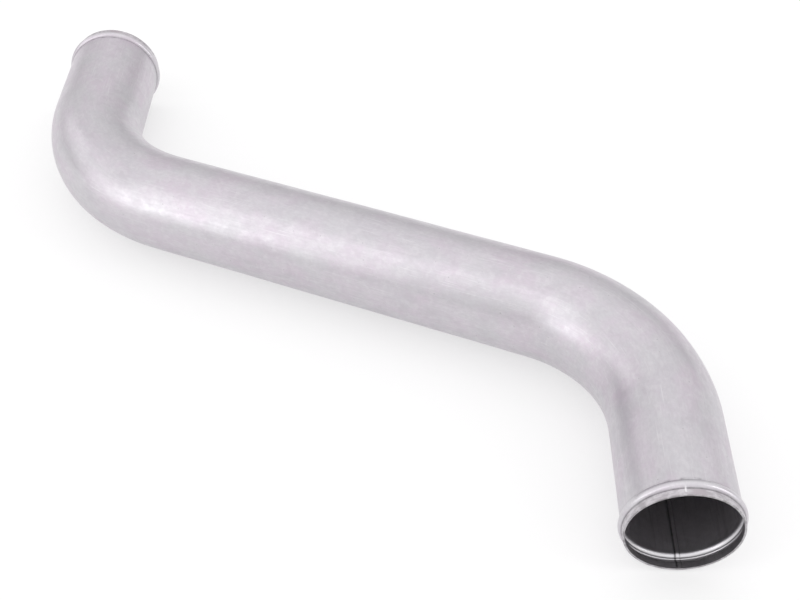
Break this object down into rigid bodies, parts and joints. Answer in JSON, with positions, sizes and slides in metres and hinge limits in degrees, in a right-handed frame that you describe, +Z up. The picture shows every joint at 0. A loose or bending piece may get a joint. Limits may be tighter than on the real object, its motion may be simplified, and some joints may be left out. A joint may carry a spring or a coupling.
{
  "type": "charge air cooler pipe",
  "caption": "Seam-welded steel air tube bent twice in one plane into a flat Z, with a rolled hose bead at each open end; carries charge air to or from a cooler.",
  "frame": {"origin": "middle of the pipe's footprint, on the surface that it lies on", "axes": "+Z up out of the bend plane; both legs along Y, the near mouth facing -Y and the far mouth +Y; +X towards the near leg"},
  "size_m": [0.702, 0.7012, 0.1071],
  "materials": {
    "aluminised_steel": "matt, slightly mottled hot-dip aluminised coat"
  },
  "bodies": {
    "root": {"charge_air_pipe": "aluminised_steel"}
  },
  "joints": []
}
